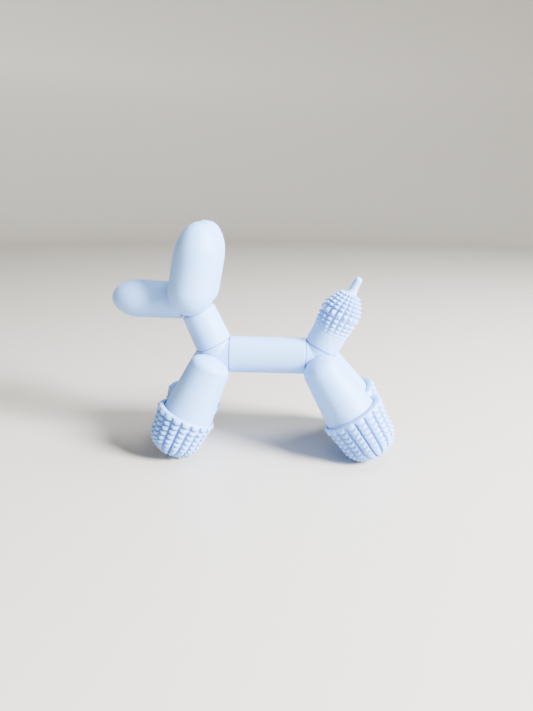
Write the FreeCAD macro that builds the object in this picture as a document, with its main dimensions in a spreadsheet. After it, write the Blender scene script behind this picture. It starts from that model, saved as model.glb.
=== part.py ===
import FreeCAD, Part
import math
import os
import Sketcher

# Standing animal figure made of rounded lobes that twist against one another, like a modelling
# balloon folded into a dog.  Frame: nose towards -X, tail towards +X, the figure's left side
# towards -Y, +Z up, feet on z = 0, X and Y at the middle of the figure.  All sizes in mm.
#
# The lobes in line (muzzle, neck, torso, tail) are solids of revolution whose pointed ends meet
# at three nodes.  A hub sits in each node.  It carries the lobes that come in pairs (ears, front
# legs, rear legs) on one cross bar, and each lobe in line turns on a headed pin pressed into it.

doc = FreeCAD.newDocument("twist_figure")
sheet = doc.addObject("Spreadsheet::Sheet", "Dims")

DIMS = [
    # node positions in the middle plane
    ("shoulder_x", -15.1), ("shoulder_z", 42.1),
    ("hip_x", 26.9), ("hip_z", 41.6),
    ("head_x", -25.3), ("head_z", 65.0),
    # directions in the middle plane, degrees from +X towards +Z
    ("torso_dir", -0.6820), ("neck_dir", 114.0085), ("muzzle_dir", 177.56), ("tail_dir", 63.37),
    ("ear_dir", 79.0), ("front_leg_dir", 245.1), ("rear_leg_dir", -56.26),
    ("front_boot_dir", 245.05), ("rear_boot_dir", -56.84),
    ("leg_splay", 0.09),
    # torso
    ("torso_len", 42.00298), ("torso_rad", 7.75), ("torso_cone_front", 5.20), ("torso_cone_rear", 5.05),
    ("edge_soft", 0.6), ("tip_at", 1.0), ("tip_rad", 1.45), ("clear_tip_at", 0.05), ("clear_tip_rad", 0.42),
    # neck
    ("neck_len", 25.06891), ("neck_rad_low", 7.86), ("neck_rad_top", 7.32),
    ("neck_cone_low", 5.26), ("neck_cone_top", 4.78),
    # muzzle
    ("muzzle_cone", 5.0), ("muzzle_rad_base", 7.66), ("muzzle_nose_at", 22.26), ("muzzle_rad_nose", 7.99),
    ("muzzle_nose_len", 12.05),
    # tail
    ("tail_cone", 4.86), ("tail_rad_base", 7.45), ("tail_smooth_to", 13.6), ("tail_root_rad", 7.15),
    ("tail_top_at", 21.1), ("tail_rad_top", 8.05), ("tail_nub_wide", 1.25),
    ("tail_cap_at_a", 25.4), ("tail_cap_rad_a", 6.35), ("tail_env_rad_a", 7.30),
    ("tail_cap_at_b", 28.3), ("tail_cap_rad_b", 4.75), ("tail_env_rad_b", 5.70),
    ("tail_cap_at_c", 30.4), ("tail_cap_rad_c", 2.70), ("tail_env_rad_c", 3.40),
    ("nozzle_neck_at", 32.6), ("nozzle_end_at", 38.0), ("nozzle_neck_rad", 1.75), ("nozzle_rad", 1.5),
    # ears
    ("ear_x", -26.62), ("ear_y", 8.7), ("ear_z", 60.74), ("ear_low_len", 9.9), ("ear_rad_low", 9.40),
    ("ear_mid_to", 22.62), ("ear_rad_top", 9.33), ("ear_top_len", 15.24), ("ear_flat_at", 37.45),
    # front legs
    ("front_leg_x", -15.99), ("front_leg_z", 42.8), ("front_leg_dome", 5.423), ("front_leg_rad", 8.632),
    ("front_leg_round", 3.9672), ("front_leg_len", 31.0), ("front_leg_end_rad", 11.07),
    # rear legs
    ("rear_leg_x", 25.63), ("rear_leg_z", 42.97), ("rear_leg_dome", 6.643), ("rear_leg_rad", 8.262),
    ("rear_leg_round", 5.7186), ("rear_leg_len", 31.0), ("rear_leg_end_rad", 11.36),
    ("leg_y", 8.4),
    # boots
    
    ("fill_web", 3.2), ("boot_ditch", 0.55), ("boot_ditch_deep", 1.6),
    ("front_boot_x", -27.592), ("front_boot_y", 10.833), ("front_boot_z", 19.452), ("front_boot_rad", 12.854), ("front_boot_toe_at", 10.5),
    ("front_boot_toe_rad", 11.70), ("front_boot_toe_len", 10.0), ("front_boot_toe_round", 8.9612),
    ("rear_boot_x", 41.387), ("rear_boot_y", 11.075), ("rear_boot_z", 20.811), ("rear_boot_rad", 13.643), ("rear_boot_toe_at", 13.1),
    ("rear_boot_toe_rad", 12.02), ("rear_boot_toe_len", 9.2), ("rear_boot_toe_round", 7.6572),
    # hubs, pins, bushes and friction rings
    ("gap", 0.2), ("split", 0.1),
    ("hub_ball", 3.0), ("hub_cup", 3.15), ("hub_arm_len", 5.5), ("hub_arm_wide", 3.4), ("hub_arm_thick", 3.0),
    ("hub_bar_rad", 1.9), ("hub_bar_half_leg", 9.5), ("hub_bar_half_ear", 12.0),
    ("pin_rad", 1.3), ("pin_foot", 1.2), ("pin_head_rad", 2.0), ("pin_head_at", 8.8), ("pin_head_to", 10.2),
    ("pin_slot", 0.6), ("pin_slot_at", 7.6),
    ("bush_in", 1.36), ("bush_out", 2.2), ("bush_from", 3.4), ("bush_to", 7.4),
    ("ring_in", 1.36), ("ring_out", 2.05), ("ring_from", 7.5), ("ring_to", 8.7), ("ring_soft", 0.25),
    ("cavity_rad", 2.35), ("cavity_to", 10.7),
]
for i, (alias, value) in enumerate(DIMS):
    sheet.set("A%d" % (i + 1), alias)
    sheet.set("B%d" % (i + 1), repr(float(value)))
    sheet.setAlias("B%d" % (i + 1), alias)
doc.recompute()


def val(alias):
    return float(sheet.get(alias))


def term(*names):
    """A sum of aliases and numbers, as an expression and as its value."""
    text, total = "", 0.0
    for n in names:
        if isinstance(n, (int, float)):
            text += " %s %r" % ("-" if n < 0 else "+", abs(float(n)))
            total += n
        elif n.startswith("-"):
            text += " - Dims.%s" % n[1:]
            total -= val(n[1:])
        else:
            text += " + Dims.%s" % n
            total += val(n)
    text = text.strip()
    return (text[1:].strip() if text.startswith("+") else text), total


def heading(angle_deg, splay=0.0):
    a = math.radians(angle_deg)
    v = FreeCAD.Vector(math.cos(a), splay, math.sin(a))
    v.normalize()
    return v


def place(x, y, z, direction, along=0.0):
    """Local +Z along direction, local Y kept level, moved along the direction."""
    zaxis = FreeCAD.Vector(direction)
    zaxis.normalize()
    yaxis = FreeCAD.Vector(0, 1, 0)
    yaxis = yaxis - zaxis * zaxis.dot(yaxis)
    yaxis.normalize()
    xaxis = yaxis.cross(zaxis)
    rot = FreeCAD.Rotation(xaxis, yaxis, zaxis, "ZXY")
    return FreeCAD.Placement(FreeCAD.Vector(x, y, z) + zaxis * along, rot)


def plane_of(body, role):
    for f in body.Origin.OriginFeatures:
        if f.Role == role:
            return f
    raise RuntimeError("no " + role)


def outline(body, name, points, role="XZ_Plane"):
    """A closed outline of straight edges whose corners are bound to the sheet.
    Each corner is (x, y), each a tuple of terms, or 0 when it lies on the axis."""
    sk = body.newObject("Sketcher::SketchObject", name)
    sk.AttachmentSupport = [(plane_of(body, role), "")]
    sk.MapMode = "FlatFace"
    vals = []
    for px, py in points:
        vals.append((term(*px)[1] if px != 0 else 0.0, term(*py)[1] if py != 0 else 0.0))
    n = len(points)
    for i in range(n):
        a, b = vals[i], vals[(i + 1) % n]
        sk.addGeometry(Part.LineSegment(FreeCAD.Vector(a[0], a[1], 0), FreeCAD.Vector(b[0], b[1], 0)), False)
    for i in range(n):
        sk.addConstraint(Sketcher.Constraint("Coincident", i, 2, (i + 1) % n, 1))
    for i, (px, py) in enumerate(points):
        if px == 0 and py == 0:
            sk.addConstraint(Sketcher.Constraint("Coincident", i, 1, -1, 1))
            continue
        if px == 0:
            sk.addConstraint(Sketcher.Constraint("PointOnObject", i, 1, -2))
        else:
            c = sk.addConstraint(Sketcher.Constraint("DistanceX", -1, 1, i, 1, vals[i][0]))
            sk.renameConstraint(c, "x%d" % i)
            sk.setExpression("Constraints.x%d" % i, term(*px)[0])
        if py == 0:
            sk.addConstraint(Sketcher.Constraint("PointOnObject", i, 1, -1))
        else:
            c = sk.addConstraint(Sketcher.Constraint("DistanceY", -1, 1, i, 1, vals[i][1]))
            sk.renameConstraint(c, "y%d" % i)
            sk.setExpression("Constraints.y%d" % i, term(*py)[0])
    return sk


def quarter_ellipse(centre, along, across, up):
    """A quarter of an ellipse beside the axis, and whether it starts at its side rather than at its tip."""
    c = FreeCAD.Vector(0, centre, 0)
    if along >= across:
        curve = Part.Ellipse(c, along, across)
        curve.AngleXU = math.pi / 2
    else:
        curve = Part.Ellipse(c, across, along)
    t_side = curve.parameter(FreeCAD.Vector(across, centre, 0)) % (2 * math.pi)
    t_tip = curve.parameter(FreeCAD.Vector(0, centre + (along if up else -along), 0)) % (2 * math.pi)
    if abs((t_tip - t_side) % (2 * math.pi) - math.pi / 2) < 1e-6:
        return Part.ArcOfEllipse(curve, t_side, t_side + math.pi / 2), True
    return Part.ArcOfEllipse(curve, t_tip, t_tip + math.pi / 2), False


def crown_arcs(centre, along, across, soft, up):
    """A flattened dome beside the axis: a tight side arc that runs into a wide crown arc."""
    wide = ((across - soft) ** 2 + along ** 2 - soft ** 2) / (2 * (along - soft))
    s = 1.0 if up else -1.0
    c_side = FreeCAD.Vector(across - soft, centre, 0)
    c_wide = FreeCAD.Vector(0, centre + s * (along - wide), 0)
    t = math.atan2(wide - along, across - soft)
    z = FreeCAD.Vector(0, 0, 1)
    if up:
        return (Part.ArcOfCircle(Part.Circle(c_side, z, soft), 0.0, t),
                Part.ArcOfCircle(Part.Circle(c_wide, z, wide), t, math.pi / 2))
    return (Part.ArcOfCircle(Part.Circle(c_side, z, soft), -t, 0.0),
            Part.ArcOfCircle(Part.Circle(c_wide, z, wide), -math.pi / 2, -t))


def egg(name, low, high, placement):
    """A lobe turned from a closed outline: its low end, a straight side, its high end.
    Each end is ("round", centre height, length, radius), the same as "crown" with the radius
    of its side arc added for a dome flatter than a ball, ("flat", height, radius) or
    ("point", tip height, tip radius, shoulder height, shoulder radius), in sheet terms."""
    body = doc.addObject("PartDesign::Body", name)
    body.Label = name
    sk = body.newObject("Sketcher::SketchObject", name + "_outline")
    sk.AttachmentSupport = [(plane_of(body, "XZ_Plane"), "")]
    sk.MapMode = "FlatFace"
    line = lambda p, q: sk.addGeometry(Part.LineSegment(FreeCAD.Vector(p[0], p[1], 0), FreeCAD.Vector(q[0], q[1], 0)), False)
    con = lambda *a: sk.addConstraint(Sketcher.Constraint(*a))
    count = [0]

    def bound(kind, geo, pos, t):
        count[0] += 1
        label = "size%d" % count[0]
        sk.renameConstraint(con(kind, -1, 1, geo, pos, term(*t)[1]), label)
        sk.setExpression("Constraints." + label, term(*t)[0])

    def side_of(end):
        if end[0] in ("round", "crown"):
            return term(*end[3])[1], term(*end[1])[1]
        if end[0] == "flat":
            return term(*end[2])[1], term(*end[1])[1]
        return term(*end[4])[1], term(*end[3])[1]

    wall = line(side_of(low), side_of(high))
    tips = []
    for end, pos, up in ((low, 1, False), (high, 2, True)):
        r0, h0 = side_of(end)
        if end[0] == "round":
            c, along = term(*end[1])[1], term(*end[2])[1]
            arc, side_first = quarter_ellipse(c, along, r0, up)
            g = sk.addGeometry(arc, False)
            s_, t_ = (1, 2) if side_first else (2, 1)
            con("Coincident", wall, pos, g, s_)
            tip = (0.0, c + (along if up else -along))
            tips.append((g, t_, tip, end))
        elif end[0] == "crown":
            c, along = term(*end[1])[1], term(*end[2])[1]
            near, far = crown_arcs(c, along, r0, term(*end[4])[1], up)
            g = sk.addGeometry(near, False)
            g_far = sk.addGeometry(far, False)
            s_, t_ = (1, 2) if up else (2, 1)
            con("Coincident", wall, pos, g, s_)
            con("Tangent", g, t_, g_far, s_)
            con("PointOnObject", g_far, 3, -2)
            bound("DistanceY", g, 3, end[1])
            count[0] += 1
            sk.renameConstraint(con("Radius", g, term(*end[4])[1]), "size%d" % count[0])
            sk.setExpression("Constraints.size%d" % count[0], term(*end[4])[0])
            tips.append((g_far, t_, (0.0, c + (along if up else -along)), end))
        elif end[0] == "flat":
            g = line((r0, h0), (0.0, h0))
            con("Coincident", wall, pos, g, 1)
            tips.append((g, 2, (0.0, h0), end))
        else:
            rt, ht = term(*end[2])[1], term(*end[1])[1]
            g = line((r0, h0), (rt, ht))
            con("Coincident", wall, pos, g, 1)
            blunt = line((rt, ht), (0.0, ht))
            con("Coincident", g, 2, blunt, 1)
            tips.append((blunt, 2, (0.0, ht), end))
    (g1, p1, t1, e1), (g2, p2, t2, e2) = tips
    axis = line(t1, t2)
    con("Coincident", axis, 1, g1, p1)
    con("Coincident", axis, 2, g2, p2)
    con("PointOnObject", axis, 1, -2)
    con("PointOnObject", axis, 2, -2)
    for (g, p, tip, end), pos, sign in ((tips[0], 1, "-"), (tips[1], 2, "")):
        if end[0] in ("round", "crown"):
            if end[0] == "round":
                con("PointOnObject", g, 3, -2)
                bound("DistanceY", g, 3, end[1])
            bound("DistanceY", wall, pos, end[1])
            bound("DistanceX", wall, pos, end[3])
            if abs(tip[1]) < 1e-9:
                con("PointOnObject", g, p, -1)
            else:
                flip = tuple((("-" + n) if not n.startswith("-") else n[1:]) if isinstance(n, str) else -n for n in end[2])
                bound("DistanceY", g, p, tuple(end[1]) + (tuple(end[2]) if sign == "" else flip))
        elif end[0] == "flat":
            bound("DistanceY", wall, pos, end[1])
            bound("DistanceX", wall, pos, end[2])
            con("Horizontal", g)
        else:
            bound("DistanceY", wall, pos, end[3])
            bound("DistanceX", wall, pos, end[4])
            bound("DistanceY", g, 1, end[1])
            bound("DistanceX", g, 1, end[2])
            con("Horizontal", g)
    turn(body, "Revolution", sk, name + "_turned")
    body.Placement = placement
    return body


def quarter_disc(body, name, radius, centre, up):
    """A quarter disc against the axis: the cup that the hub's ball sits in."""
    sk = body.newObject("Sketcher::SketchObject", name)
    sk.AttachmentSupport = [(plane_of(body, "XZ_Plane"), "")]
    sk.MapMode = "FlatFace"
    r = term(radius)[1]
    c = 0.0 if centre == 0 else term(centre)[1]
    s = 1.0 if up else -1.0
    o, p, q = FreeCAD.Vector(0, c, 0), FreeCAD.Vector(r, c, 0), FreeCAD.Vector(0, c + s * r, 0)
    sk.addGeometry(Part.LineSegment(o, p), False)
    a0, a1 = (0.0, math.pi / 2) if up else (-math.pi / 2, 0.0)
    sk.addGeometry(Part.ArcOfCircle(Part.Circle(o, FreeCAD.Vector(0, 0, 1), r), a0, a1), False)
    sk.addGeometry(Part.LineSegment(q, o), False)
    if centre == 0:
        sk.addConstraint(Sketcher.Constraint("Coincident", 0, 1, -1, 1))
    else:
        sk.addConstraint(Sketcher.Constraint("PointOnObject", 0, 1, -2))
        k = sk.addConstraint(Sketcher.Constraint("DistanceY", -1, 1, 0, 1, c))
        sk.renameConstraint(k, "centre_height")
        sk.setExpression("Constraints.centre_height", term(centre)[0])
    sk.addConstraint(Sketcher.Constraint("Horizontal", 0))
    sk.addConstraint(Sketcher.Constraint("Vertical", 2))
    sk.addConstraint(Sketcher.Constraint("Coincident", 1, 3, 0, 1))
    sk.addConstraint(Sketcher.Constraint("Coincident", 0, 2, 1, 1 if up else 2))
    sk.addConstraint(Sketcher.Constraint("Coincident", 2, 1, 1, 2 if up else 1))
    sk.addConstraint(Sketcher.Constraint("Coincident", 2, 2, 0, 1))
    k = sk.addConstraint(Sketcher.Constraint("Radius", 1, r))
    sk.renameConstraint(k, "ball_radius")
    sk.setExpression("Constraints.ball_radius", term(radius)[0])
    return sk


def turn(body, kind, sketch, name):
    f = body.newObject("PartDesign::" + kind, name)
    f.Profile = sketch
    f.ReferenceAxis = (sketch, ["V_Axis"])
    f.Angle = 360.0
    sketch.Visibility = False
    body.Tip = f
    return f


def turned(name, points, placement):
    body = doc.addObject("PartDesign::Body", name)
    body.Label = name
    sk = outline(body, name + "_outline", points)
    turn(body, "Revolution", sk, name + "_turned")
    body.Placement = placement
    return body


def soften(body, name, radius, pick):
    """Rounds the circular edges that pick accepts (edge centre height, edge radius)."""
    doc.recompute()
    base = body.Tip
    edges = []
    inv = body.Placement.inverse()
    for i, e in enumerate(base.Shape.Edges):
        if e.Degenerated:
            continue
        c = e.Curve
        if hasattr(c, "Radius") and hasattr(c, "Center"):
            if pick(c.Center.z, c.Radius):
                edges.append("Edge%d" % (i + 1))
    if not edges:
        raise RuntimeError("no edges for " + name)
    f = body.newObject("PartDesign::Fillet", name)
    f.Base = (base, edges)
    f.setExpression("Radius", "Dims." + radius)
    body.Tip = f
    return f


def socket(body, tag, far=None):
    """The cup, bush seat and pin cavity at an end of a lobe in line."""
    if far is None:
        z = lambda a: (a,) if a != 0 else 0
        base = 0
    else:
        z = lambda a: (far, "-" + a) if a != 0 else (far,)
        base = (far,)
    pts = [(0, base), (("bush_out",), base), (("bush_out",), z("bush_to")), (("cavity_rad",), z("bush_to")),
           (("cavity_rad",), z("cavity_to")), (0, z("cavity_to"))]
    sk = outline(body, body.Name + "_seat_" + tag, pts)
    turn(body, "Groove", sk, body.Name + "_seat_cut_" + tag)
    sk = quarter_disc(body, body.Name + "_cup_" + tag, "hub_cup", 0 if far is None else far, far is None)
    turn(body, "Groove", sk, body.Name + "_cup_cut_" + tag)


made = []
volumes = {}


def keep(obj, label):
    obj.Label = label
    made.append((obj, label))
    return obj


def prim(kind, name, sizes, placement):
    o = doc.addObject("Part::" + kind, name)
    for prop, t in sizes.items():
        o.setExpression(prop, term(*t)[0] if isinstance(t, tuple) else t)
    o.Placement = placement
    return o


def fuse(name, shapes):
    o = doc.addObject("Part::MultiFuse", name)
    o.Shapes = shapes
    return o


def cut(name, base, tool):
    o = doc.addObject("Part::Cut", name)
    o.Base = base
    o.Tool = tool
    return o


def gather(name, shapes):
    """Pieces that stay clear of each other, handled as one tool."""
    o = doc.addObject("Part::Compound", name)
    o.Links = shapes
    return o


def cut_all(name, base, tools):
    for i, t in enumerate(tools):
        base = cut("%s_%d" % (name, i), base, t)
    return base


def mirrored(name, source):
    """The same piece on the figure's other side."""
    o = doc.addObject("Part::Mirroring", name)
    o.Source = source
    o.Base = FreeCAD.Vector(0, 0, 0)
    o.Normal = FreeCAD.Vector(0, 1, 0)
    return keep(o, name)


def common(name, shapes):
    o = doc.addObject("Part::MultiCommon", name)
    o.Shapes = shapes
    return o


SX, SZ = val("shoulder_x"), val("shoulder_z")
PX, PZ = val("hip_x"), val("hip_z")
HX, HZ = val("head_x"), val("head_z")
torso_at = place(SX, 0, SZ, heading(val("torso_dir")))
neck_at = place(SX, 0, SZ, heading(val("neck_dir")))
muzzle_at = place(HX, 0, HZ, heading(val("muzzle_dir")))
tail_at = place(PX, 0, PZ, heading(val("tail_dir")))

# ---------------------------------------------------------------- lobes in line
torso = turned("torso", [
    (0, ("tip_at",)), (("tip_rad",), ("tip_at",)), (("torso_rad",), ("torso_cone_front",)),
    (("torso_rad",), ("torso_len", "-torso_cone_rear")), (("tip_rad",), ("torso_len", "-tip_at")),
    (0, ("torso_len", "-tip_at"))], torso_at)
soften(torso, "torso_soft", "edge_soft", lambda zc, r: abs(r - val("torso_rad")) < 0.01)
socket(torso, "front")
socket(torso, "rear", "torso_len")
keep(torso, "torso")

neck = turned("neck", [
    (0, ("tip_at",)), (("tip_rad",), ("tip_at",)), (("neck_rad_low",), ("neck_cone_low",)),
    (("neck_rad_top",), ("neck_len", "-neck_cone_top")), (("tip_rad",), ("neck_len", "-tip_at")),
    (0, ("neck_len", "-tip_at"))], neck_at)
soften(neck, "neck_soft", "edge_soft", lambda zc, r: r > 7.0)
socket(neck, "low")
socket(neck, "top", "neck_len")
keep(neck, "neck")

muzzle = egg("muzzle", ("point", ("tip_at",), ("tip_rad",), ("muzzle_cone",), ("muzzle_rad_base",)),
             ("round", ("muzzle_nose_at",), ("muzzle_nose_len",), ("muzzle_rad_nose",)), muzzle_at)
soften(muzzle, "muzzle_soft", "edge_soft", lambda zc, r: zc < 8 and r > 7.0)
socket(muzzle, "back")
keep(muzzle, "muzzle")

tail_core = turned("tail_core", [
    (0, ("tip_at",)), (("tip_rad",), ("tip_at",)), (("tail_rad_base",), ("tail_cone",)), (("tail_rad_base",), ("tail_smooth_to",)),
    (("tail_root_rad",), ("tail_top_at",)), (("tail_cap_rad_a",), ("tail_cap_at_a",)),
    (("tail_cap_rad_b",), ("tail_cap_at_b",)), (("tail_cap_rad_c",), ("tail_cap_at_c",)),
    (("nozzle_neck_rad",), ("nozzle_neck_at",)), (("nozzle_rad",), ("nozzle_end_at", -0.9)),
    (("nozzle_rad", -0.5), ("nozzle_end_at",)), (0, ("nozzle_end_at",))], tail_at)
soften(tail_core, "tail_soft", "edge_soft", lambda zc, r: zc < 8 and r > 7.0)
socket(tail_core, "low")
tail_dirv = heading(val("tail_dir"))
tail_env = turned("tail_envelope", [
    (0, ("tail_smooth_to", 0.8)), (("tail_rad_base", 0.1), ("tail_smooth_to", 0.8)),
    (("tail_rad_top",), ("tail_top_at",)), (("tail_env_rad_a",), ("tail_cap_at_a",)),
    (("tail_env_rad_b",), ("tail_cap_at_b",)), (("tail_env_rad_c",), ("tail_cap_at_c",)), (0, ("tail_cap_at_c", 0.8))], tail_at)
ribs = []
for i in range(18):
    b = doc.addObject("Part::Box", "tail_rib_%d" % i)
    b.setExpression("Length", "Dims.tail_rad_top")
    b.setExpression("Width", "Dims.tail_nub_wide")
    b.Height = 20.0
    local = FreeCAD.Placement(FreeCAD.Vector(), FreeCAD.Rotation(FreeCAD.Vector(0, 0, 1), 20.0 * i + 10.0))
    half = FreeCAD.Placement(FreeCAD.Vector(4.2, -val("tail_nub_wide") / 2,
                                            val("tail_smooth_to") - 1.0), FreeCAD.Rotation())
    b.Placement = tail_at.multiply(local.multiply(half))
    ribs.append(b)
tail_ribs = common("tail_ribs", [tail_env, gather("tail_rib_set", ribs)])
keep(fuse("tail_all", [tail_core, tail_ribs]), "tail")

# ------------------------------------------- space kept free around the lobes in line
torso_clear = turned("torso_clear", [
    (0, ("clear_tip_at",)), (("clear_tip_rad",), ("clear_tip_at",)), (("torso_rad", "gap"), ("torso_cone_front", -0.1)),
    (("torso_rad", "gap"), ("torso_len", "-torso_cone_rear", 0.1)), (("clear_tip_rad",), ("torso_len", "-clear_tip_at")),
    (0, ("torso_len", "-clear_tip_at"))], torso_at)
neck_clear = turned("neck_clear", [
    (0, ("clear_tip_at",)), (("clear_tip_rad",), ("clear_tip_at",)), (("neck_rad_low", "gap"), ("neck_cone_low", -0.1)),
    (("neck_rad_top", "gap"), ("neck_len", "-neck_cone_top", 0.1)), (("clear_tip_rad",), ("neck_len", "-clear_tip_at")),
    (0, ("neck_len", "-clear_tip_at"))], neck_at)
muzzle_clear = turned("muzzle_clear", [
    (0, ("clear_tip_at",)), (("clear_tip_rad",), ("clear_tip_at",)), (("muzzle_rad_base", "gap"), ("muzzle_cone", -0.1)),
    (("muzzle_rad_nose", "gap"), ("muzzle_nose_at",)), (0, ("muzzle_nose_at",))], muzzle_at)
tail_clear = turned("tail_clear", [
    (0, ("clear_tip_at",)), (("clear_tip_rad",), ("clear_tip_at",)), (("tail_rad_base", "gap"), ("tail_cone", -0.1)),
    (("tail_rad_base", "gap"), ("tail_smooth_to",)), (0, ("tail_smooth_to",))], tail_at)


# ---------------------------------------------------------------- hubs
def hub_core(name, x, z, arm_dir, half):
    at = FreeCAD.Vector(x, 0, z)
    ball = prim("Sphere", name + "_ball", {"Radius": ("hub_ball",)}, FreeCAD.Placement(at, FreeCAD.Rotation()))
    d = heading(arm_dir)
    arm = prim("Box", name + "_arm", {"Length": ("hub_arm_wide",), "Width": ("hub_arm_thick",), "Height": ("hub_arm_len",)},
               place(x, 0, z, d).multiply(FreeCAD.Placement(FreeCAD.Vector(
                   -val("hub_arm_wide") / 2, -val("hub_arm_thick") / 2, 0), FreeCAD.Rotation())))
    q = at + d * val("hub_arm_len")
    bar = prim("Cylinder", name + "_bar", {"Radius": ("hub_bar_rad",), "Height": "2 * Dims." + half},
               FreeCAD.Placement(FreeCAD.Vector(q.x, -val(half), q.z), FreeCAD.Rotation(FreeCAD.Vector(1, 0, 0), -90)))
    return fuse(name + "_core", [ball, arm, bar])


def hub(name, core, x, z, pin_dirs, fill=None):
    body = fuse(name + "_body", [core, fill]) if fill else core
    holes = []
    for i, p in enumerate(pin_dirs):
        holes.append(prim("Cylinder", name + "_hole_%d" % i, {"Radius": ("pin_rad",), "Height": ("hub_ball",)},
                          place(x, 0, z, heading(p), val("pin_foot"))))
    return keep(cut_all(name + "_drilled", body, holes), name)


def leg_raw(name, pre, side, grow=0.0):
    d = heading(val(pre + "_dir"), side * val("leg_splay"))
    x, y, z = val(pre + "_x"), side * val("leg_y"), val(pre + "_z")
    return egg(name + "_raw", ("crown", (pre + "_dome",), (pre + "_dome", grow), (pre + "_rad", grow), (pre + "_round", grow)),
               ("flat", (pre + "_len",), (pre + "_end_rad", grow)), place(x, y, z, d))


def filler(name, x, z, lobes, clears, pre):
    """Carries the girth of two lobes on to the plane where they meet, so that no notch shows beside the hub."""
    at = FreeCAD.Vector(x, 0, z)
    up = FreeCAD.Vector(0, 0, 1)
    (dir_a, rad_a, end_a), (dir_b, rad_b, end_b) = lobes
    da, db = heading(dir_a), heading(dir_b)
    halves = []
    for tag, d, other, rad, end in (("a", da, db, rad_a, end_a), ("b", db, da, rad_b, end_b)):
        drum = prim("Cylinder", name + "_" + tag, {"Radius": (rad,), "Height": (end, -0.5)}, place(x, 0, z, d))
        off = prim("Box", name + "_" + tag + "_off", {"Length": "60", "Width": "60", "Height": "30"},
                   FreeCAD.Placement(at, FreeCAD.Rotation(up, other - d)).multiply(
                       FreeCAD.Placement(FreeCAD.Vector(-30, -30, 0), FreeCAD.Rotation())))
        halves.append(cut(name + "_" + tag + "_half", drum, off))
    # the part in the middle would be paper thin
    web = prim("Box", name + "_web", {"Length": "16", "Width": "2 * Dims.fill_web", "Height": "12"},
               FreeCAD.Placement(at, FreeCAD.Rotation(up, da + db)).multiply(
                   FreeCAD.Placement(FreeCAD.Vector(-8, -val("fill_web"), 2.6), FreeCAD.Rotation())))
    room = [leg_raw(name + "_room_left", pre, -1, 0.1), leg_raw(name + "_room_right", pre, 1, 0.1)]
    return cut_all(name, fuse(name + "_both", halves), clears + [web] + room)


T_BACK = val("torso_dir") + 180.0
head_core = hub_core("head_hub", HX, HZ, val("ear_dir"), "hub_bar_half_ear")
shoulder_core = hub_core("shoulder_hub", SX, SZ, val("front_leg_dir"), "hub_bar_half_leg")
hip_core = hub_core("hip_hub", PX, PZ, val("rear_leg_dir"), "hub_bar_half_leg")
shoulder_fill = filler("shoulder_fill", SX, SZ, [(val("torso_dir"), "torso_rad", "torso_cone_front"),
                                                 (val("neck_dir"), "neck_rad_low", "neck_cone_low")],
                       [torso_clear, neck_clear], "front_leg")
hip_fill = filler("hip_fill", PX, PZ, [(T_BACK, "torso_rad", "torso_cone_rear"), (val("tail_dir"), "tail_rad_base", "tail_cone")],
                  [torso_clear, tail_clear], "rear_leg")
hub("head_hub", head_core, HX, HZ, [val("neck_dir") - 180.0, val("muzzle_dir")])
hub("shoulder_hub", shoulder_core, SX, SZ, [val("torso_dir"), val("neck_dir")], shoulder_fill)
hub("hip_hub", hip_core, PX, PZ, [T_BACK, val("tail_dir")], hip_fill)


# ---------------------------------------------------------------- pins, bushes, friction rings
def pin(name, at):
    body = turned(name, [
        (0, ("pin_foot",)), (("pin_rad",), ("pin_foot",)), (("pin_rad",), ("pin_head_at",)),
        (("pin_head_rad",), ("pin_head_at",)), (("pin_head_rad",), ("pin_head_at", 0.5)),
        (("pin_head_rad", -0.7), ("pin_head_to",)), (0, ("pin_head_to",))], at)
    doc.recompute()
    sk = outline(body, name + "_slot", [
        ((-0.3,), ("pin_slot_at",)), ((0.3,), ("pin_slot_at",)),
        ((0.3,), ("pin_head_to", 1.0)), ((-0.3,), ("pin_head_to", 1.0))])
    p = body.newObject("PartDesign::Pocket", name + "_slot_cut")
    p.Profile = sk
    p.Type = "Length"
    p.SideType = "Symmetric"
    p.Length = 8.0
    sk.Visibility = False
    body.Tip = p
    return keep(body, name)


def bush(name, at):
    return keep(turned(name, [
        (("bush_in",), ("bush_from",)), (("bush_out", -0.2), ("bush_from",)), (("bush_out",), ("bush_from", 0.2)),
        (("bush_out",), ("bush_to",)), (("bush_in",), ("bush_to",))], at), name)


def ring(name, at):
    return keep(turned(name, [
        (("ring_in",), ("ring_from", "ring_soft")), (("ring_in", "ring_soft"), ("ring_from",)),
        (("ring_out", "-ring_soft"), ("ring_from",)), (("ring_out",), ("ring_from", "ring_soft")),
        (("ring_out",), ("ring_to", "-ring_soft")), (("ring_out", "-ring_soft"), ("ring_to",)),
        (("ring_in", "ring_soft"), ("ring_to",)), (("ring_in",), ("ring_to", "-ring_soft"))], at), name)


SPOTS = [
    ("torso_front", torso_at),
    ("neck_lower", neck_at),
    ("neck_upper", place(HX, 0, HZ, heading(val("neck_dir") - 180.0))),
    ("muzzle", muzzle_at),
    ("torso_rear", place(PX, 0, PZ, heading(val("torso_dir") + 180.0))),
    ("tail", tail_at),
]
for tag, at in SPOTS:
    pin("swivel_pin_" + tag, at)
    bush("bush_" + tag, at)
    ring("friction_ring_" + tag, at)


# ---------------------------------------------------------------- paired lobes
def half_space(name, side):
    """Everything on the far side of the middle plane, so that the pair just parts there."""
    y0 = -val("split") if side < 0 else -150.0 + val("split")
    return prim("Box", name, {"Length": "300", "Width": "150", "Height": "300"},
                FreeCAD.Placement(FreeCAD.Vector(-150, y0, -100), FreeCAD.Rotation()))


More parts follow.
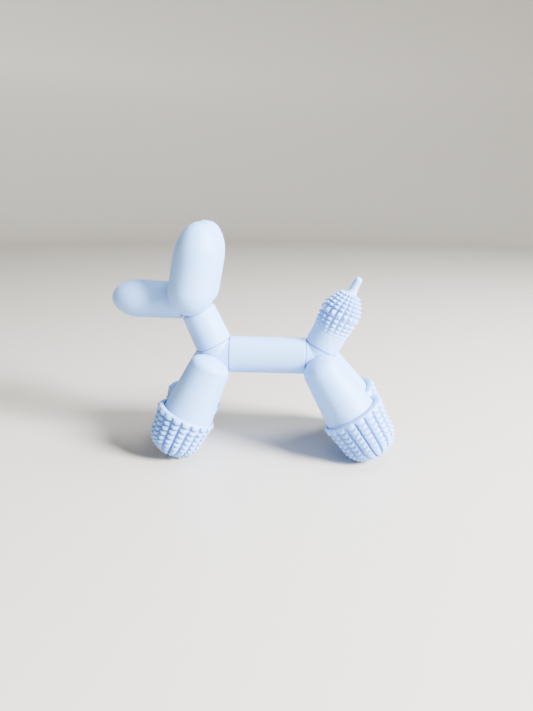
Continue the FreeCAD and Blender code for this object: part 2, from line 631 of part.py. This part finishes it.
def ear(name, side):
    d = heading(val("ear_dir"))
    x, y, z = val("ear_x"), side * val("ear_y"), val("ear_z")
    raw = egg(name + "_raw", ("round", ("ear_low_len",), ("ear_low_len",), ("ear_rad_low",)),
              ("round", ("ear_mid_to",), ("ear_top_len",), ("ear_rad_top",)), place(x, y, z, d))
    tip = prim("Cylinder", name + "_tip_off", {"Radius": "8", "Height": "5"}, place(x, y, z, d, val("ear_flat_at")))
    return keep(cut_all(name + "_cut", raw, [half_space(name + "_half", side), muzzle_clear, neck_clear, tip, head_core]), name)


def leg(name, pre, side, clear, hubobj):
    raw = leg_raw(name, pre, side)
    return keep(cut_all(name + "_cut", raw, [half_space(name + "_half", side)] + clear + [hubobj]), name), raw


def boot(name, pre, legpre, side, raw_leg):
    d = heading(val(pre + "_dir"), side * val("leg_splay"))
    x, y, z = val(pre + "_x"), side * val(pre + "_y"), val(pre + "_z")
    at0 = place(x, y, z, d)

    solid = egg(name + "_shell", ("flat", (0.0,), (pre + "_rad",)),
                ("crown", (pre + "_toe_at",), (pre + "_toe_len",), (pre + "_toe_rad",), (pre + "_toe_round",)), at0)
    ld = heading(val(legpre + "_dir"), side * val("leg_splay"))
    lx, ly, lz = val(legpre + "_x"), side * val("leg_y"), val(legpre + "_z")
    # along the leg, the boot's rim starts here
    start = (FreeCAD.Vector(x, y, z) - FreeCAD.Vector(lx, ly, lz)).dot(ld)
    slope = (val(legpre + "_end_rad") - val(legpre + "_rad")) / (val(legpre + "_len") - val(legpre + "_dome"))
    r_at = val(legpre + "_rad") + slope * (start - val(legpre + "_dome"))
    ditch = doc.addObject("Part::Cylinder", name + "_ditch")
    ditch.setExpression("Radius", "%r + Dims.boot_ditch" % r_at)
    ditch.setExpression("Height", "6 + Dims.boot_ditch_deep")
    ditch.Placement = place(lx, ly, lz, ld, start - 6.0)
    ground = prim("Box", name + "_ground", {"Length": "300", "Width": "300", "Height": "50"},
                  FreeCAD.Placement(FreeCAD.Vector(-150, -150, -50), FreeCAD.Rotation()))
    return keep(cut_all(name + "_cut", solid, [half_space(name + "_half", side), ground, ditch, raw_leg]), name)


mirrored("ear_right", ear("ear_left", -1))
fl, raw = leg("front_leg_left", "front_leg", -1, [torso_clear, neck_clear], shoulder_core)
mirrored("front_leg_right", fl)
mirrored("front_boot_right", boot("front_boot_left", "front_boot", "front_leg", -1, raw))
rl, raw = leg("rear_leg_left", "rear_leg", -1, [torso_clear, tail_clear], hip_core)
mirrored("rear_leg_right", rl)
mirrored("rear_boot_right", boot("rear_boot_left", "rear_boot", "rear_leg", -1, raw))

doc.recompute()

# ---------------------------------------------------------------- checks, then one STEP file per piece
bad = [o.Name for o in doc.Objects if "Invalid" in o.State or "Error" in o.State]
if bad:
    raise RuntimeError("failed objects: " + ", ".join(bad))
os.makedirs("parts", exist_ok=True)
for old in os.listdir("parts"):
    if old.endswith(".step"):
        os.remove(os.path.join("parts", old))
total = 0.0
for obj, label in made:
    shape = obj.Shape
    if shape.isNull() or not shape.isValid() or not shape.Solids:
        raise RuntimeError("bad shape: " + label)
    if len(shape.Solids) != 1:
        print("note: %s has %d solids" % (label, len(shape.Solids)), [round(s.Volume, 3) for s in shape.Solids])
    bb = shape.BoundBox
    print("%-26s vol %9.2f  x %7.2f %7.2f  y %7.2f %7.2f  z %7.2f %7.2f" % (
        label, shape.Volume, bb.XMin, bb.XMax, bb.YMin, bb.YMax, bb.ZMin, bb.ZMax))
    total += shape.Volume
    shape.exportStep("parts/%s.step" % label)
print("pieces", len(made), "volume", round(total, 1))
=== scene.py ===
import math
import bmesh
import bpy
from mathutils import Matrix, Vector


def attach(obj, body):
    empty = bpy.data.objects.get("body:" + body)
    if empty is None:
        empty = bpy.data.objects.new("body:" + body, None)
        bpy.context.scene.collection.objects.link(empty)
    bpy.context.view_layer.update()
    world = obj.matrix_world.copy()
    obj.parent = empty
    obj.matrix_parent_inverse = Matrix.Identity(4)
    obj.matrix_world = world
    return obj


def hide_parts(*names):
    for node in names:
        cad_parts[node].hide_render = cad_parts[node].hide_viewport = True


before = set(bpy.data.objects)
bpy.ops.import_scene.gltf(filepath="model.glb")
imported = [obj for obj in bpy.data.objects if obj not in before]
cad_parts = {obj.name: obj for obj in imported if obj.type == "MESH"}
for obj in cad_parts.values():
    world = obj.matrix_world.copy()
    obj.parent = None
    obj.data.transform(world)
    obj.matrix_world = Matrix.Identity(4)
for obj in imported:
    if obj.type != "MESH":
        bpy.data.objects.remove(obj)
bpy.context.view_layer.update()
MM = 0.001

# ------------------------------------------------------------------ sizes, mm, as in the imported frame
SPLIT = 0.1
SPLAY = 0.09
TAIL = dict(x=26.9, z=41.6, angle=63.37)
FRONT = dict(x=-27.592, y=-10.833, z=19.452, angle=245.05, rad=12.854, toe_at=10.5, toe_rad=11.70, toe_len=10.0, soft=8.9612,
             leg=(-15.99, -8.4, 42.8, 245.1, 5.423, 8.632, 31.0, 11.07))
REAR = dict(x=41.387, y=-11.075, z=20.811, angle=-56.84, rad=13.643, toe_at=13.1, toe_rad=12.02, toe_len=9.2, soft=7.6572,
            leg=(25.63, -8.4, 42.97, -56.26, 6.643, 8.262, 31.0, 11.36))
RIBS = 18


def heading(angle, splay=0.0):
    a = math.radians(angle)
    return Vector((math.cos(a), splay, math.sin(a))).normalized()


def basis(d):
    """Two directions across d: the first towards the viewer's side, in the plane of d and Y."""
    v = Vector((0.0, -1.0, 0.0))
    v = (v - d * v.dot(d)).normalized()
    u = v.cross(d).normalized()
    return u, v


def smooth(a, b, t):
    t = min(1.0, max(0.0, (t - a) / (b - a)))
    return t * t * (3.0 - 2.0 * t)


# ------------------------------------------------------------------ materials
def node(tree, kind, x, y, **inputs):
    n = tree.nodes.new(kind)
    n.location = (x, y)
    for k, v in inputs.items():
        n.inputs[k.replace("_", " ")].default_value = v
    return n


def moulded(name, light, deep, rough=0.52, grain=1.0, painted_cavity_shade=False, sheen=0.10):
    """Matte moulded plastic: faint flow marks in the colour, a fine eggshell grain, patchy roughness, and where
    asked, painted shade darkening grooves and creases.
    """
    m = bpy.data.materials.new(name)
    m.use_nodes = True
    t = m.node_tree
    t.nodes.clear()
    out = node(t, "ShaderNodeOutputMaterial", 900, 0)
    p = node(t, "ShaderNodeBsdfPrincipled", 600, 0)
    t.links.new(p.outputs["BSDF"], out.inputs["Surface"])
    p.inputs["IOR"].default_value = 1.46
    p.inputs["Sheen Weight"].default_value = sheen
    p.inputs["Sheen Roughness"].default_value = 0.45
    p.inputs["Sheen Tint"].default_value = (0.86, 0.93, 1.0, 1.0)
    where = node(t, "ShaderNodeTexCoord", -900, 0)
    flow = node(t, "ShaderNodeTexNoise", -650, 250, Scale=38.0, Detail=4.0, Roughness=0.55, Distortion=0.6)
    t.links.new(where.outputs["Object"], flow.inputs["Vector"])
    ramp = node(t, "ShaderNodeValToRGB", -400, 250)
    ramp.color_ramp.elements[0].position = 0.30
    ramp.color_ramp.elements[1].position = 0.72
    ramp.color_ramp.elements[0].color = (*deep, 1.0)
    ramp.color_ramp.elements[1].color = (*light, 1.0)
    t.links.new(flow.outputs["Fac"], ramp.inputs["Fac"])
    speck = node(t, "ShaderNodeTexNoise", -650, 520, Scale=900.0, Detail=2.0, Roughness=0.5)
    t.links.new(where.outputs["Object"], speck.inputs["Vector"])
    fleck = node(t, "ShaderNodeMapRange", -400, 520)
    fleck.inputs["From Min"].default_value = 0.30
    fleck.inputs["From Max"].default_value = 0.42
    fleck.inputs["To Min"].default_value = 0.955
    fleck.inputs["To Max"].default_value = 1.0
    t.links.new(speck.outputs["Fac"], fleck.inputs["Value"])
    tint = node(t, "ShaderNodeMix", -130, 300)
    tint.data_type = "RGBA"
    tint.blend_type = "MULTIPLY"
    tint.inputs[0].default_value = 1.0
    t.links.new(ramp.outputs["Color"], tint.inputs[6])
    t.links.new(fleck.outputs["Result"], tint.inputs[7])
    colour = tint.outputs[2]
    # painted shade: a per-vertex mask mixes the colour toward a darker blue in grooves, notches and creases, where
    # shade falls
    if painted_cavity_shade:
        painted_shade_mask = node(t, "ShaderNodeAttribute", -400, 760)
        painted_shade_mask.attribute_name = "painted_cavity_shade"
        painted_shade_mix = node(t, "ShaderNodeMix", 150, 300)
        painted_shade_mix.data_type = "RGBA"
        painted_shade_mix.blend_type = "MIX"
        t.links.new(painted_shade_mask.outputs["Fac"], painted_shade_mix.inputs[0])
        t.links.new(colour, painted_shade_mix.inputs[6])
        painted_shade_mix.inputs[7].default_value = (deep[0] * 0.56, deep[1] * 0.66, deep[2] * 0.80, 1.0)
        colour = painted_shade_mix.outputs[2]
    t.links.new(colour, p.inputs["Base Color"])
    patch = node(t, "ShaderNodeTexNoise", -650, -50, Scale=110.0, Detail=3.0, Roughness=0.5)
    t.links.new(where.outputs["Object"], patch.inputs["Vector"])
    span = node(t, "ShaderNodeMapRange", -400, -50)
    span.inputs["To Min"].default_value = rough - 0.06
    span.inputs["To Max"].default_value = rough + 0.08
    t.links.new(patch.outputs["Fac"], span.inputs["Value"])
    t.links.new(span.outputs["Result"], p.inputs["Roughness"])
    fine = node(t, "ShaderNodeTexNoise", -650, -350, Scale=2600.0, Detail=3.0, Roughness=0.6)
    t.links.new(where.outputs["Object"], fine.inputs["Vector"])
    bump = node(t, "ShaderNodeBump", -100, -350)
    bump.inputs["Strength"].default_value = 0.22 * grain
    bump.inputs["Distance"].default_value = 0.00006
    t.links.new(fine.outputs["Fac"], bump.inputs["Height"])
    broad = node(t, "ShaderNodeTexNoise", -650, -620, Scale=170.0, Detail=2.0, Roughness=0.5)
    t.links.new(where.outputs["Object"], broad.inputs["Vector"])
    soft = node(t, "ShaderNodeBump", 200, -350)
    soft.inputs["Strength"].default_value = 0.08 * grain
    soft.inputs["Distance"].default_value = 0.0004
    t.links.new(broad.outputs["Fac"], soft.inputs["Height"])
    t.links.new(bump.outputs["Normal"], soft.inputs["Normal"])
    t.links.new(soft.outputs["Normal"], p.inputs["Normal"])
    return m


LIGHT, DEEP = (0.268, 0.500, 0.965), (0.240, 0.470, 0.945)
lobe = moulded("powder_blue_lobe", LIGHT, DEEP)
# the ribbed boots and the knobbed tail get painted shade in their grooves and creases
boot_mat = moulded("powder_blue_ribbed", LIGHT, DEEP, rough=0.50, painted_cavity_shade=True)
knob_mat = moulded("powder_blue_knobbed", LIGHT, DEEP, rough=0.50, painted_cavity_shade=True)
pin_mat = moulded("pin_acetal_white", (0.80, 0.80, 0.78), (0.76, 0.76, 0.74), rough=0.30, grain=0.4, sheen=0.0)
bush_mat = moulded("bush_acetal_grey", (0.42, 0.44, 0.46), (0.38, 0.40, 0.42), rough=0.35, grain=0.4, sheen=0.0)
ring_mat = moulded("ring_rubber_dark", (0.060, 0.062, 0.068), (0.050, 0.052, 0.056), rough=0.62, grain=0.8, sheen=0.1)

for name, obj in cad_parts.items():
    if "pin" in name:
        use = pin_mat
    elif "bush" in name:
        use = bush_mat
    elif "ring" in name:
        use = ring_mat
    else:
        use = lobe
    if not obj.material_slots:
        obj.data.materials.append(use)
    for s in obj.material_slots:
        s.material = use


# ------------------------------------------------------------------ mesh helpers
def lathe(name, rows, columns, at, u, v, d):
    """A closed skin from rows of (radius, height, painted shade) per column. The first and last rows are single
    points on the axis.
    """
    bm = bmesh.new()
    shade_layer = bm.verts.layers.float.new("painted_cavity_shade")
    n = columns
    grid = []
    for row in rows:
        line = []
        if len(row) == 1:
            r, h, c = row[0]
            p = bm.verts.new((at + d * h) * MM)
            p[shade_layer] = c
            line = [p]
        else:
            for j, (r, h, c, th) in enumerate(row):
                p = bm.verts.new((at + d * h + (u * math.cos(th) + v * math.sin(th)) * r) * MM)
                p[shade_layer] = c
                line.append(p)
        grid.append(line)
    for a, b in zip(grid, grid[1:]):
        for j in range(n):
            k = (j + 1) % n
            if len(a) == 1 and len(b) == 1:
                continue
            if len(a) == 1:
                bm.faces.new((a[0], b[k], b[j]))
            elif len(b) == 1:
                bm.faces.new((a[j], a[k], b[0]))
            else:
                bm.faces.new((a[j], a[k], b[k], b[j]))
    bmesh.ops.recalc_face_normals(bm, faces=bm.faces[:])
    return bm


def trim(bm, point, normal):
    """Cuts away what lies on the far side of a plane, and closes the cut."""
    geom = bm.verts[:] + bm.edges[:] + bm.faces[:]
    bmesh.ops.bisect_plane(bm, geom=geom, dist=1e-8, plane_co=Vector(point) * MM, plane_no=Vector(normal), clear_outer=True)
    rim = [e for e in bm.edges if e.is_boundary]
    if rim:
        bmesh.ops.holes_fill(bm, edges=rim, sides=0)


def finish_mesh(bm, name, mat, sharp=32.0):
    bmesh.ops.dissolve_degenerate(bm, edges=bm.edges[:], dist=1e-8)
    bmesh.ops.recalc_face_normals(bm, faces=bm.faces[:])
    me = bpy.data.meshes.new(name)
    bm.to_mesh(me)
    bm.free()
    for p in me.polygons:
        p.use_smooth = True
    me.set_sharp_from_angle(angle=math.radians(sharp))
    o = bpy.data.objects.new(name, me)
    bpy.context.scene.collection.objects.link(o)
    me.materials.append(mat)
    return o


def mirrored(bm):
    other = bm.copy()
    for p in other.verts:
        p.co.y = -p.co.y
    bmesh.ops.reverse_faces(other, faces=other.faces[:])
    return other


# ------------------------------------------------------------------ ribbed boots
ACROSS = (-1.0, -0.95, -0.87, -0.78, -0.66, -0.50, -0.26, 0.0, 0.26, 0.50, 0.66, 0.78, 0.87, 0.95)
TOOTH = (0.0, 0.06, 0.20, 0.38, 0.56, 0.72, 0.84, 0.92, 0.97, 1.0)


def boot_curve(k):
    """The boot's outline as (length along it, radius, height, outward radius part, outward height part)."""
    pts = [(k["rad"], 0.0)]
    steps = 60
    for i in range(1, steps + 1):
        f = i / steps
        pts.append((k["rad"] + (k["toe_rad"] - k["rad"]) * f, k["toe_at"] * f))
    a, b, s = k["toe_len"], k["toe_rad"], k["soft"]
    wide = ((b - s) ** 2 + a * a - s * s) / (2.0 * (a - s))
    turn = math.atan2(wide - a, b - s)
    for i in range(1, 61):
        t = turn * i / 60
        pts.append((b - s + s * math.cos(t), k["toe_at"] + s * math.sin(t)))
    for i in range(1, 81):
        t = turn + (math.pi / 2 - turn) * i / 80
        pts.append((wide * math.cos(t), k["toe_at"] + a - wide + wide * math.sin(t)))
    run, lens = 0.0, [0.0]
    for p, q in zip(pts, pts[1:]):
        run += math.hypot(q[0] - p[0], q[1] - p[1])
        lens.append(run)
    return pts, lens


def sample(pts, lens, at):
    at = min(max(at, 0.0), lens[-1])
    lo, hi = 0, len(lens) - 1
    while hi - lo > 1:
        mid = (lo + hi) // 2
        if lens[mid] <= at:
            lo = mid
        else:
            hi = mid
    f = (at - lens[lo]) / max(lens[hi] - lens[lo], 1e-9)
    p, q = pts[lo], pts[hi]
    r, h = p[0] + (q[0] - p[0]) * f, p[1] + (q[1] - p[1]) * f
    tx, ty = q[0] - p[0], q[1] - p[1]
    n = math.hypot(tx, ty)
    return r, h, ty / n, -tx / n


def boot(k, name_left, name_right, body, phase, tip_gap):
    d = heading(k["angle"], -SPLAY)
    at = Vector((k["x"], k["y"], k["z"]))
    u, v = basis(d)
    lx, ly, lz, la, dome, lr, llen, lend = k["leg"]
    ld = heading(la, -SPLAY)
    root = Vector((lx, ly, lz))
    along = (at - root).dot(ld)
    centre = root + ld * along
    leg_r = lr + (lend - lr) / (llen - dome) * (along - dome)
    off = centre - at
    ox, oy = off.dot(u), off.dot(v)
    ditch = leg_r + 0.50

    def inner(th):
        c, s = math.cos(th), math.sin(th)
        e = ox * c + oy * s
        return min(e + math.sqrt(max(ditch * ditch - (ox * ox + oy * oy - e * e), 0.0)), k["rad"] - 1.0)

    pts, lens = boot_curve(k)
    total = lens[-1]
    last = total - tip_gap
    # lower edges of the teeth, measured along the outline from its top
    first = 3.0
    edges = [first]
    while True:
        done = (edges[-1] - first) / (last - first)
        step = 2.42 - 0.72 * done ** 1.4
        if edges[-1] + step * 1.45 > last:
            break
        edges.append(edges[-1] + step)
    scale = (last - first) / (edges[-1] + step - first)
    edges = [first + (e - first) * scale for e in edges] + [last]

    n = RIBS * len(ACROSS)
    pitch = 2 * math.pi / RIBS
    cols = []
    for i in range(RIBS):
        for a in ACROSS:
            cols.append((a, math.radians(phase) + pitch * (i + a / 2.0)))

    rows = []
    # the third value in each row is painted shade: darkest on the floor of the crease against the leg
    floor_h = 1.7
    rows.append([(0.0, floor_h, 0.3)])
    for f in (0.35, 0.7, 0.93):
        rows.append([(inner(th) * f, floor_h, 0.6, th) for a, th in cols])
    rows.append([(inner(th), floor_h, 1.0, th) for a, th in cols])
    rows.append([(inner(th), 1.25, 0.9, th) for a, th in cols])
    rows.append([(inner(th) + 0.02, 0.78, 0.5, th) for a, th in cols])
    def skin(base, lift, t, edge, nxt):
        row = []
        for a, th in cols:
            part = min(abs(a), 1.0)
            started = smooth(-0.2, 2.2, base)
            # the foot of each groove is a narrow wedge that widens towards the toe
            wide = 0.32 * smooth(-0.6, 2.8, base)
            groove = smooth(1.0 - wide - 0.02, 1.0 - 0.08 * min(1.0, wide / 0.1), part)
            # each block is a low roof with its ridge along the rib
            round_off = (0.42 * part + 0.30 * part ** 2) * started
            scallop = 0.70 * smooth(1.2, 3.4, base) * (1.0 - part ** 2)
            if edge >= len(edges) - 1:
                scallop += 0.60 * (1.0 - part ** 2) * t
            deep = 1.60 * smooth(-0.2, 3.0, base)
            height = lift * (1.0 - groove) * (1.0 - 0.30 * part * part)
            drop = deep * groove + round_off * (1.0 - 0.4 * groove)
            r, h, nr, nh = sample(pts, lens, base + scallop - 0.36 * smooth(1.2, 3.4, base))
            out = height - drop + 0.46 * (1.0 - smooth(0.8, 3.8, base))
            # painted shade: darker on the groove floors and in the notch under each tooth's lower edge
            shade = min(1.0, max(groove * smooth(0.0, 2.8, base), smooth(0.40, 1.0, -lift) * smooth(2.6, 2.9, base)))
            row.append((r + nr * out, h + nh * out, shade, th))
        return row

    # a short rounded lip from the crease out to the tops of the ribs; its painted shade fades from the crease out to
    # the ribs
    outer = skin(1.15, -0.74, 0.0, 0, None)
    for f in (0.0, 0.18, 0.36, 0.54, 0.70, 0.84, 0.94, 1.0):
        ang = f * math.pi / 2
        row = []
        for (a, th), (ro, ho, so, _) in zip(cols, outer):
            r0 = inner(th) + 0.12
            r1 = max(ro, r0 + 0.25)
            r = r0 + (r1 - r0) * math.sin(ang)
            h = 0.34 + (max(ho, 0.36) - 0.34) * (1.0 - math.cos(ang))
            row.append((r, h, 0.30 * (1.0 - f) + so * f, th))
        rows.append(row)

    # the first block slopes out from the lip to its lower edge
    for base in (1.25, 1.4, 1.6, 1.8, 2.0, 2.2):
        rows.append(skin(base, -0.74 * (1.0 - (base - 1.15) / 1.1) ** 1.5, 0.0, 0, None))
    for base, lift in ((2.36, 0.0), (2.52, 0.0), (2.68, -0.06), (2.82, -0.22), (2.92, -0.50), (2.98, -0.85)):
        rows.append(skin(base, lift, 0.0, 0, None))
    tall = 1.25
    for i in range(len(edges) - 1):
        lo, hi = edges[i], edges[i + 1]
        size = tall * (0.62 + 0.38 * min(1.0, (hi - lo) / 2.4))
        for t in TOOTH:
            # a notch, a steep upper face, then a gently rising top and a rounded edge
            if t <= 0.84:
                lift = -size * (0.80 * (1.0 - smooth(0.06, 0.46, t)) + 0.20 * (1.0 - t / 0.84))
            else:
                g = (t - 0.84) / 0.16
                lift = -0.55 * size * (1.0 - math.sqrt(max(0.0, 1.0 - g * g)))
            base = lo + (hi - lo) * t * 0.985 + 0.015
            rows.append(skin(base, lift, t, i + 1, None))
    # past the fingertips the skin steps in to a recessed sole, with painted shade on it
    tip_r, tip_h = sample(pts, lens, last)[:2]
    for back, f in ((0.45, 0.03), (0.95, 0.05), (1.25, 0.12), (1.3, 0.3)):
        row = []
        for a, th in cols:
            part = min(abs(a), 1.0)
            scallop = (0.70 + 0.60) * (1.0 - part ** 2) - 0.36
            r, h, nr, nh = sample(pts, lens, last + scallop * max(0.0, 1.0 - f * 3.0) + (total - last) * f)
            row.append((r - nr * back, h - nh * back, 0.9, th))
        rows.append(row)
    for f in (0.5, 0.7, 0.88):
        r, h, nr, nh = sample(pts, lens, last + (total - last) * f)
        rows.append([(r - nr * 1.3, h - nh * 1.3, 0.5, th) for a, th in cols])
    rows.append([(0.0, k["toe_at"] + k["toe_len"] - 1.3, 0.5)])

    bm = lathe(name_left, rows, n, at, u, v, d)
    trim(bm, (0, -SPLIT, 0), (0, 1, 0))
    trim(bm, (0, 0, 0.0), (0, 0, -1))
    right = mirrored(bm)
    for side_bm, name, cad in ((bm, name_left, "left"), (right, name_right, "right")):
        o = finish_mesh(side_bm, name, boot_mat)
        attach(o, body)
    return name_left, name_right


boot(FRONT, "ribbed_front_boot_left", "ribbed_front_boot_right", "shoulders", 0.0, 5.6)
boot(REAR, "ribbed_rear_boot_left", "ribbed_rear_boot_right", "hips", 0.0, 5.6)
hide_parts("front_boot_left")
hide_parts("front_boot_right")
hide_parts("rear_boot_left")
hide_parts("rear_boot_right")


# ------------------------------------------------------------------ knobbed tail
def knobbed_tail():
    d = heading(TAIL["angle"])
    at = Vector((TAIL["x"], 0.0, TAIL["z"]))
    u, v = basis(d)
    nubs = 18
    across = (-1.0, -0.90, -0.74, -0.56, -0.34, -0.16, 0.0, 0.16, 0.34, 0.56, 0.74, 0.90)
    cols = []
    for i in range(nubs):
        for a in across:
            cols.append((a, 2 * math.pi / nubs * (i + a / 2.0)))
    n = len(cols)
    # (height, tip radius, valley radius, half height, peak share that is flat)
    bands = [
        (12.9, 7.58, 7.40, 0.72, 0.50),
        (14.5, 7.86, 7.38, 0.75, 0.42),
        (16.2, 8.20, 7.34, 0.82, 0.30),
        (18.05, 8.48, 7.30, 0.90, 0.22),
        (20.85, 8.78, 7.24, 1.78, 0.14),
        (23.45, 8.42, 7.02, 0.74, 0.16),
        (25.15, 7.82, 6.50, 0.74, 0.16),
        (26.75, 6.98, 5.76, 0.70, 0.16),
        (28.25, 5.98, 4.88, 0.66, 0.16),
        (29.65, 4.86, 3.90, 0.62, 0.16),
    ]
    rows = [[(0.0, 10.7, 0.3)]]

    # the third value is painted shade: darker in the bore and on the underside where the tail meets the body
    def plain(r, h, c=0.0):
        rows.append([(r, h, c, th) for a, th in cols])

    plain(2.35, 10.7, 0.5)
    plain(2.35, 7.0, 0.5)
    plain(2.35, 3.45, 0.5)
    plain(1.62, 3.45, 0.5)
    plain(1.62, 2.70, 0.5)
    for f in (0.33, 0.66):
        ang = math.radians(59.0 + (33.8 - 59.0) * f)
        plain(3.15 * math.cos(ang), 3.15 * math.sin(ang), 0.5)
    plain(2.62, 1.75, 0.4)
    for f in (0.25, 0.5, 0.75, 0.90):
        plain(2.62 + (7.45 - 2.62) * f, 1.75 + (4.86 - 1.75) * f, 0.1)
    plain(7.30, 4.80)
    plain(7.43, 5.02)
    plain(7.452, 5.4)
    for h in (6.4, 7.6, 8.8, 10.0, 11.0, 11.8):
        plain(7.45, h)
    ticks = (-1.0, -0.80, -0.60, -0.40, -0.22, 0.0, 0.22, 0.40, 0.60, 0.80, 1.0)
    for i, (s, tip, low, half, flat) in enumerate(bands):
        tall = tip - low
        slope = 0.0
        if 0 < i < len(bands) - 1:
            slope = (bands[i + 1][2] - bands[i - 1][2]) / (bands[i + 1][0] - bands[i - 1][0])
        elif i:
            slope = (low - bands[i - 1][2]) / (s - bands[i - 1][0])
        fade = smooth(12.2, 16.4, s)
        for b in ticks:
            row = []
            for a, th in cols:
                e = max(abs(a) / 0.97, abs(b))
                rise = min(1.0, max(0.0, (1.0 - e) / (1.0 - flat)))
                crown = 1.0 - 0.10 * (a * a + b * b)
                up = tall * rise * crown
                # the nubs lean a little towards the tip of the tail
                lean = 0.22 * up if s > 17 else 0.0
                r = low + slope * b * half + up
                # painted shade in the valleys between the nubs, fading out towards the tail's base
                row.append((r, s + b * half + lean * 0.5, (1.0 - rise) * 0.75 * fade if rise < 0.45 else 0.0, th))
            rows.append(row)
    # the blow nozzle: a flared foot, a slim stub and a round end, with painted shade at its foot
    for r, h, c in ((3.20, 30.40, 0.7), (2.62, 30.62, 0.4), (2.28, 30.95, 0.2), (2.05, 31.4, 0.0), (1.90, 32.0, 0.0), (1.80, 32.8, 0.0),
                    (1.72, 33.8, 0.0), (1.66, 35.0, 0.0), (1.60, 36.2, 0.0)):
        plain(r, h, c)
    for i in range(0, 9):
        t = math.radians(10.0 * i)
        plain(1.58 * math.cos(t), 36.42 + 1.58 * math.sin(t))
    rows.append([(0.0, 38.0, 0.0)])
    bm = lathe("tail", rows, n, at, u, v, d)
    o = finish_mesh(bm, "knobbed_tail_shell", knob_mat, sharp=30.0)
    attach(o, "tail")
    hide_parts("tail")
    return o


knobbed_tail()


# ------------------------------------------------------------------ floor, light, camera
def sweep():
    # a round studio cove: flat floor, curved foot and a plain wall all the way round
    bm = bmesh.new()
    floor_r, curve = 1.15, 0.45
    prof = [(0.25, 0.0), (0.6, 0.0), (floor_r, 0.0)]
    for i in range(1, 17):
        t = math.radians(90.0 * i / 16)
        prof.append((floor_r + curve * math.sin(t), curve * (1.0 - math.cos(t))))
    prof += [(floor_r + curve, 1.1), (floor_r + curve, 2.2)]
    n = 96
    centre = bm.verts.new((0.0, 0.0, 0.0))
    rings = []
    for r, z in prof:
        rings.append([bm.verts.new((r * math.cos(2 * math.pi * i / n), r * math.sin(2 * math.pi * i / n), z))
                      for i in range(n)])
    for i in range(n):
        bm.faces.new((centre, rings[0][i], rings[0][(i + 1) % n]))
    for a, b in zip(rings, rings[1:]):
        for i in range(n):
            bm.faces.new((a[i], b[i], b[(i + 1) % n], a[(i + 1) % n]))
    me = bpy.data.meshes.new("studio_sweep")
    bm.to_mesh(me)
    bm.free()
    for p in me.polygons:
        p.use_smooth = True
    o = bpy.data.objects.new("studio_sweep", me)
    bpy.context.scene.collection.objects.link(o)
    m = bpy.data.materials.new("pale_table")
    m.use_nodes = True
    p = m.node_tree.nodes["Principled BSDF"]
    p.inputs["Base Color"].default_value = (0.50, 0.48, 0.445, 1.0)
    p.inputs["Roughness"].default_value = 0.34
    p.inputs["IOR"].default_value = 1.42
    me.materials.append(m)


sweep()


def area(name, at, size, watts, colour, target=(0.0, 0.0, 0.045)):
    l = bpy.data.lights.new(name, "AREA")
    l.shape = "DISK"
    l.size = size
    l.energy = watts
    l.color = colour
    o = bpy.data.objects.new(name, l)
    o.location = at
    o.rotation_euler = (Vector(target) - Vector(at)).to_track_quat("-Z", "Y").to_euler()
    bpy.context.scene.collection.objects.link(o)
    return o


area("window", (0.685, -0.34, 0.46), 0.33, 76.0, (1.0, 0.99, 0.975))
area("fill", (0.50, -0.85, 0.50), 0.60, 2.0, (0.94, 0.97, 1.0))
area("top", (0.28, 0.12, 0.88), 0.42, 10.0, (0.97, 0.985, 1.0))

world = bpy.data.worlds.new("studio")
bpy.context.scene.world = world
world.use_nodes = True
bg = world.node_tree.nodes["Background"]
bg.inputs["Color"].default_value = (0.90, 0.93, 1.0, 1.0)
bg.inputs["Strength"].default_value = 0.08

pitch, yaw, roll = 0.277805, 0.039027, 0.002873
fw = Vector((-math.sin(yaw) * math.cos(pitch), math.cos(yaw) * math.cos(pitch), -math.sin(pitch)))
right = Vector((math.cos(yaw), math.sin(yaw), 0.0))
up = right.cross(fw)
r2 = right * math.cos(roll) + up * math.sin(roll)
u2 = up * math.cos(roll) - right * math.sin(roll)
cam_data = bpy.data.cameras.new("view")
cam_data.sensor_width = 36.0
cam_data.sensor_fit = "AUTO"
cam_data.lens = 559.92 / 711.0 * 36.0
cam_data.dof.use_dof = False
cam_data.clip_start = 0.01
cam_data.clip_end = 20.0
cam = bpy.data.objects.new("view", cam_data)
m = Matrix((r2, u2, -fw)).transposed().to_4x4()
m.translation = Vector((14.541, -231.625, 107.67)) * MM
cam.matrix_world = m
bpy.context.scene.collection.objects.link(cam)
bpy.context.scene.camera = cam
